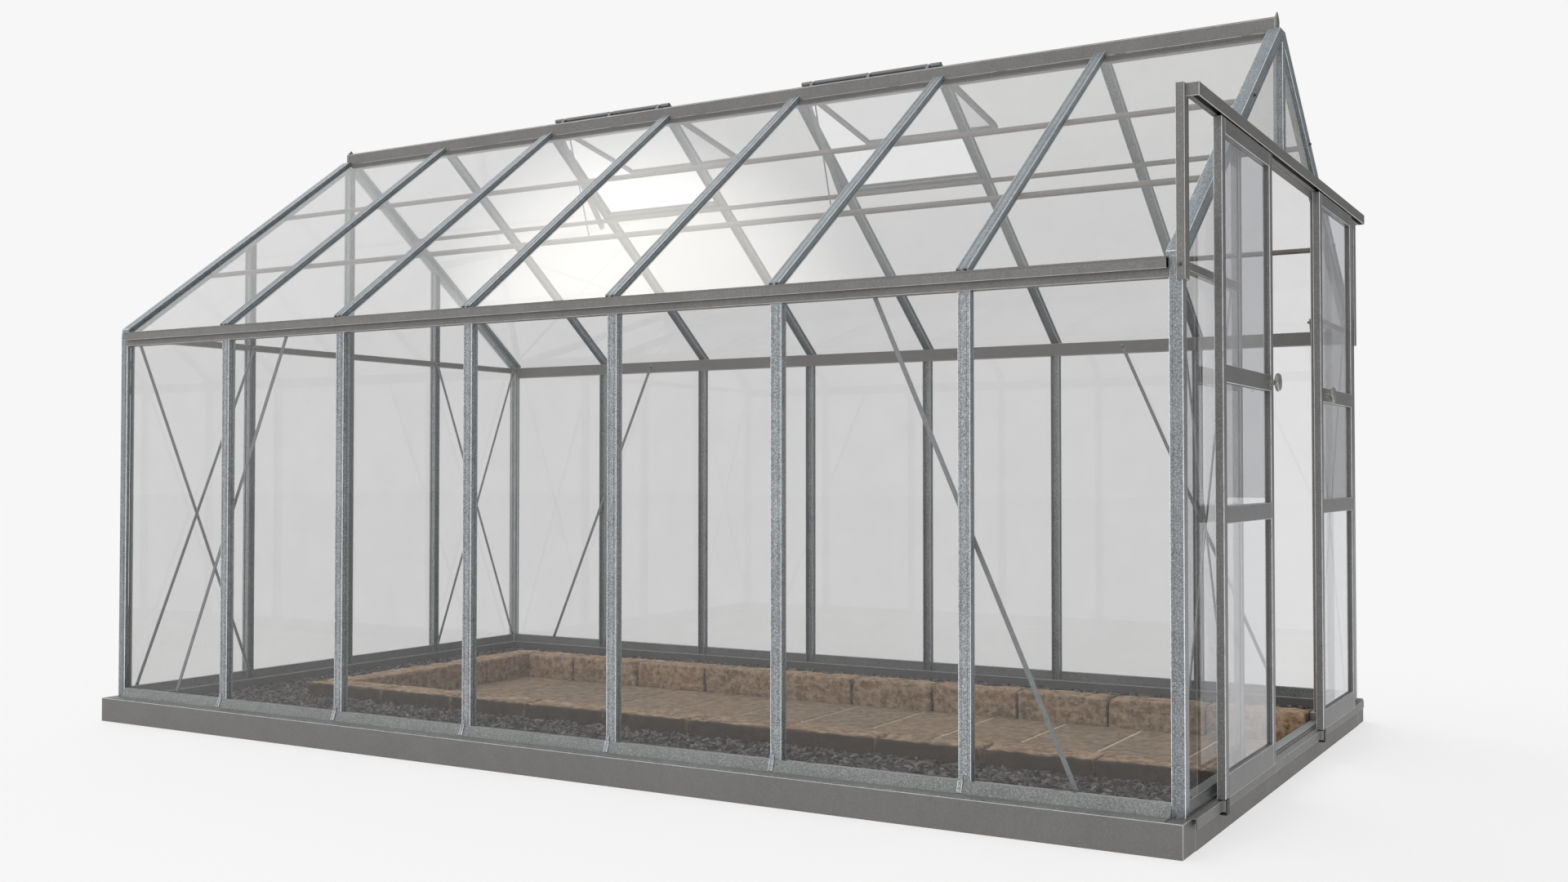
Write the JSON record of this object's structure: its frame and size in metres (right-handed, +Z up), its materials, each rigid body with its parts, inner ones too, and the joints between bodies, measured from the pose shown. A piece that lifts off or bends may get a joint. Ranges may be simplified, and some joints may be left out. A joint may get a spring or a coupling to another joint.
{
  "type": "greenhouse",
  "caption": "Walk-in gable greenhouse on a plinth, with sliding gable doors, ridge-hung roof vents, gravel beds and a kerbed stone path.",
  "frame": {"origin": "on the ground, on the centre lines of the plinth", "axes": "+X along the ridge towards the doors, +Y towards the slope with the vents, +Z up"},
  "size_m": [4.439, 2.56, 2.5393],
  "materials": {
    "plinth_steel": "matte",
    "sill_aluminium": "satin",
    "bar_aluminium": "satin",
    "roof_bar_aluminium": "satin",
    "rail_aluminium": "satin",
    "track_aluminium": "satin",
    "purlin_steel": "satin",
    "brace_steel": "satin",
    "bolt_steel": "satin",
    "clear_glass": "gloss",
    "door_glass": "gloss",
    "vent_aluminium": "satin",
    "gravel": "matte",
    "kerb_stone": "matte",
    "paving_stone": "matte",
    "bedding_sand": "matte",
    "door_aluminium": "satin",
    "knob_metal": "satin",
    "hanger_steel": "satin",
    "guide_plastic": "matte",
    "roller_plastic": "matte"
  },
  "bodies": {
    "frame": {"base_long_rails": "plinth_steel", "base_end_rails": "plinth_steel", "long_sills": "sill_aluminium", "gable_sills": "sill_aluminium", "door_threshold": "sill_aluminium", "corner_posts": "bar_aluminium", "near_wall_bars": "bar_aluminium", "far_wall_bars": "bar_aluminium", "eave_bars": "rail_aluminium", "near_roof_bars": "roof_bar_aluminium", "far_roof_bars": "roof_bar_aluminium", "gable_rafters": "roof_bar_aluminium", "ridge_bar": "rail_aluminium", "ridge_caps": "rail_aluminium", "back_gable_posts": "bar_aluminium", "gable_crossbars": "bar_aluminium", "door_jambs": "rail_aluminium", "door_header": "rail_aluminium", "door_gable_mullion": "bar_aluminium", "top_track": "track_aluminium", "track_supports": "track_aluminium", "track_brackets": "track_aluminium", "bottom_track": "track_aluminium", "purlins": "purlin_steel", "wall_braces": "brace_steel", "gable_braces": "brace_steel", "wall_glass": "clear_glass", "roof_glass": "clear_glass", "back_gable_glass": "clear_glass", "door_gable_glass": "clear_glass", "vent_sills": "vent_aluminium", "vent_hinge_bars": "vent_aluminium", "arm_brackets": "brace_steel", "frame_bolts": "bolt_steel", "gravel_bed": "gravel", "kerb_stones": "kerb_stone", "paving_stones": "paving_stone", "bedding": "bedding_sand"},
    "near_door": {"near_door_stiles": "door_aluminium", "near_door_rails": "door_aluminium", "near_door_glass": "door_glass", "near_door_knob": "knob_metal", "near_door_hangers": "hanger_steel", "near_door_guide": "guide_plastic"},
    "far_door": {"far_door_stiles": "door_aluminium", "far_door_rails": "door_aluminium", "far_door_glass": "door_glass", "far_door_knob": "knob_metal", "far_door_hangers": "hanger_steel", "far_door_guide": "guide_plastic"},
    "near_roller_a": {"near_roller_a": "roller_plastic"},
    "near_roller_b": {"near_roller_b": "roller_plastic"},
    "far_roller_a": {"far_roller_a": "roller_plastic"},
    "far_roller_b": {"far_roller_b": "roller_plastic"},
    "vent_a": {"vent_a_frame": "vent_aluminium", "vent_a_glass": "clear_glass"},
    "vent_b": {"vent_b_frame": "vent_aluminium", "vent_b_glass": "clear_glass"},
    "arm_a": {"arm_a": "brace_steel"},
    "arm_b": {"arm_b": "brace_steel"}
  },
  "joints": [
    {"name": "near_door_slide", "type": "slide", "parent": "frame", "child": "near_door", "axis": [0, 1, 0], "range_m": [-0.238, 0.36]},
    {"name": "far_door_slide", "type": "slide", "parent": "frame", "child": "far_door", "axis": [0, 1, 0], "range_m": [-0.36, 0.238]},
    {"name": "near_roller_a_spin", "type": "hinge", "parent": "near_door", "child": "near_roller_a", "pos_m": [2.1941, -0.897, 2.0003], "axis": [1, 0, 0], "range_deg": [-2100, 1400]},
    {"name": "near_roller_b_spin", "type": "hinge", "parent": "near_door", "child": "near_roller_b", "pos_m": [2.1941, -0.423, 2.0003], "axis": [1, 0, 0], "range_deg": [-2100, 1400]},
    {"name": "far_roller_a_spin", "type": "hinge", "parent": "far_door", "child": "far_roller_a", "pos_m": [2.1941, 0.423, 2.0003], "axis": [1, 0, 0], "range_deg": [-1400, 2100]},
    {"name": "far_roller_b_spin", "type": "hinge", "parent": "far_door", "child": "far_roller_b", "pos_m": [2.1941, 0.897, 2.0003], "axis": [1, 0, 0], "range_deg": [-1400, 2100]},
    {"name": "vent_a_hinge", "type": "hinge", "parent": "frame", "child": "vent_a", "pos_m": [-0.62, 0.016, 2.5308], "axis": [1, 0, 0], "range_deg": [-26.7, 10]},
    {"name": "arm_a_hinge", "type": "hinge", "parent": "frame", "child": "arm_a", "pos_m": [-0.9, 0.038, 2.4518], "axis": [1, 0, 0], "range_deg": [-38, 5]},
    {"name": "vent_b_hinge", "type": "hinge", "parent": "frame", "child": "vent_b", "pos_m": [0.62, 0.016, 2.5308], "axis": [1, 0, 0], "range_deg": [-26.7, 10]},
    {"name": "arm_b_hinge", "type": "hinge", "parent": "frame", "child": "arm_b", "pos_m": [0.34, 0.038, 2.4518], "axis": [1, 0, 0], "range_deg": [-38, 5]}
  ],
  "couplings": [
    {"joint": "near_roller_a_spin", "follows": "near_door_slide", "rad_per_m": -100},
    {"joint": "near_roller_b_spin", "follows": "near_door_slide", "rad_per_m": -100},
    {"joint": "far_roller_a_spin", "follows": "far_door_slide", "rad_per_m": -100},
    {"joint": "far_roller_b_spin", "follows": "far_door_slide", "rad_per_m": -100}
  ]
}
